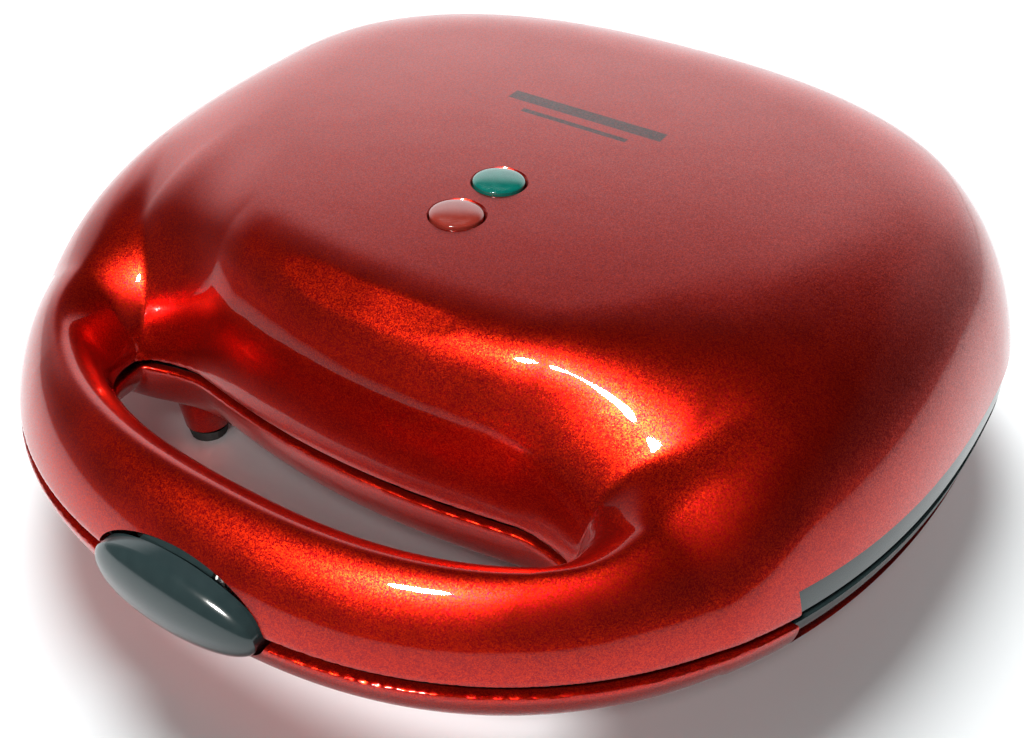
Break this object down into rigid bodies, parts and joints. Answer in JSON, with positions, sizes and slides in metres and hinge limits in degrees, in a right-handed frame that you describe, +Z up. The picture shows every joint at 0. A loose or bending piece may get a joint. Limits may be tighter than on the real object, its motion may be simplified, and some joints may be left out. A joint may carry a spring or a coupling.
{
  "type": "panini press",
  "caption": "Closed panini press with a domed hinged lid over a shallow base, a loop handle shared by both halves and a rocking front latch.",
  "frame": {"origin": "on the table, under the middle of the press's length and width", "axes": "+X to the press's right seen from the handle, +Y from the handle to the hinge, +Z up"},
  "size_m": [0.2274, 0.2436, 0.0726],
  "materials": {
    "red_paint": "gloss metallic",
    "black_plastic": "gloss",
    "rubber": "matte",
    "nonstick": "matte non-stick coating",
    "sheet_steel": "mill",
    "steel": "zinc plated",
    "ceramic": "matte",
    "glass_sleeve": "woven",
    "green_lens": "gloss",
    "red_lens": "gloss",
    "lamp_glass": "clear"
  },
  "bodies": {
    "base": {"base_shell": "red_paint", "base_frame": "black_plastic", "base_grill_plate": "nonstick", "base_heating_element": "steel", "base_element_clamp": "sheet_steel", "base_clamp_screw": "steel", "base_heat_shield": "sheet_steel", "base_handle_liner": "black_plastic", "base_frame_screw_1": "steel", "base_frame_screw_2": "steel", "base_frame_screw_3": "steel", "base_frame_screw_4": "steel", "foot_pad_1": "rubber", "foot_pad_2": "rubber", "foot_pad_3": "rubber", "foot_pad_4": "rubber", "cord_gland": "black_plastic", "terminal_block": "ceramic", "base_lead_left": "glass_sleeve", "base_lead_right": "glass_sleeve", "latch_catch": "sheet_steel", "hinge_pin_left": "steel", "hinge_pin_right": "steel"},
    "lid": {"lid_shell": "red_paint", "lid_frame": "black_plastic", "lid_grill_plate": "nonstick", "lid_heating_element": "steel", "lid_element_clamp": "sheet_steel", "lid_clamp_screw": "steel", "lid_heat_shield": "sheet_steel", "lid_handle_liner": "black_plastic", "lid_frame_screw_1": "steel", "lid_frame_screw_2": "steel", "lid_frame_screw_3": "steel", "lid_frame_screw_4": "steel", "latch_pin": "steel", "latch_spring": "steel", "red_lens": "red_lens", "green_lens": "green_lens", "red_lamp": "lamp_glass", "green_lamp": "lamp_glass", "lamp_holder": "ceramic", "thermostat": "ceramic", "thermal_fuse": "ceramic", "lid_lead_left": "glass_sleeve", "lid_lead_right": "glass_sleeve"},
    "latch": {"latch_button": "black_plastic"}
  },
  "joints": [
    {"name": "lid_hinge", "type": "hinge", "parent": "base", "child": "lid", "pos_m": [0, 0.11685, 0.0293], "axis": [-1, 0, 0], "range_deg": [0, 105]},
    {"name": "latch_rock", "type": "hinge", "parent": "lid", "child": "latch", "pos_m": [0, -0.11105, 0.0354], "axis": [-1, 0, 0], "range_deg": [0, 12], "stiffness_Nm_per_rad": 0.05}
  ]
}
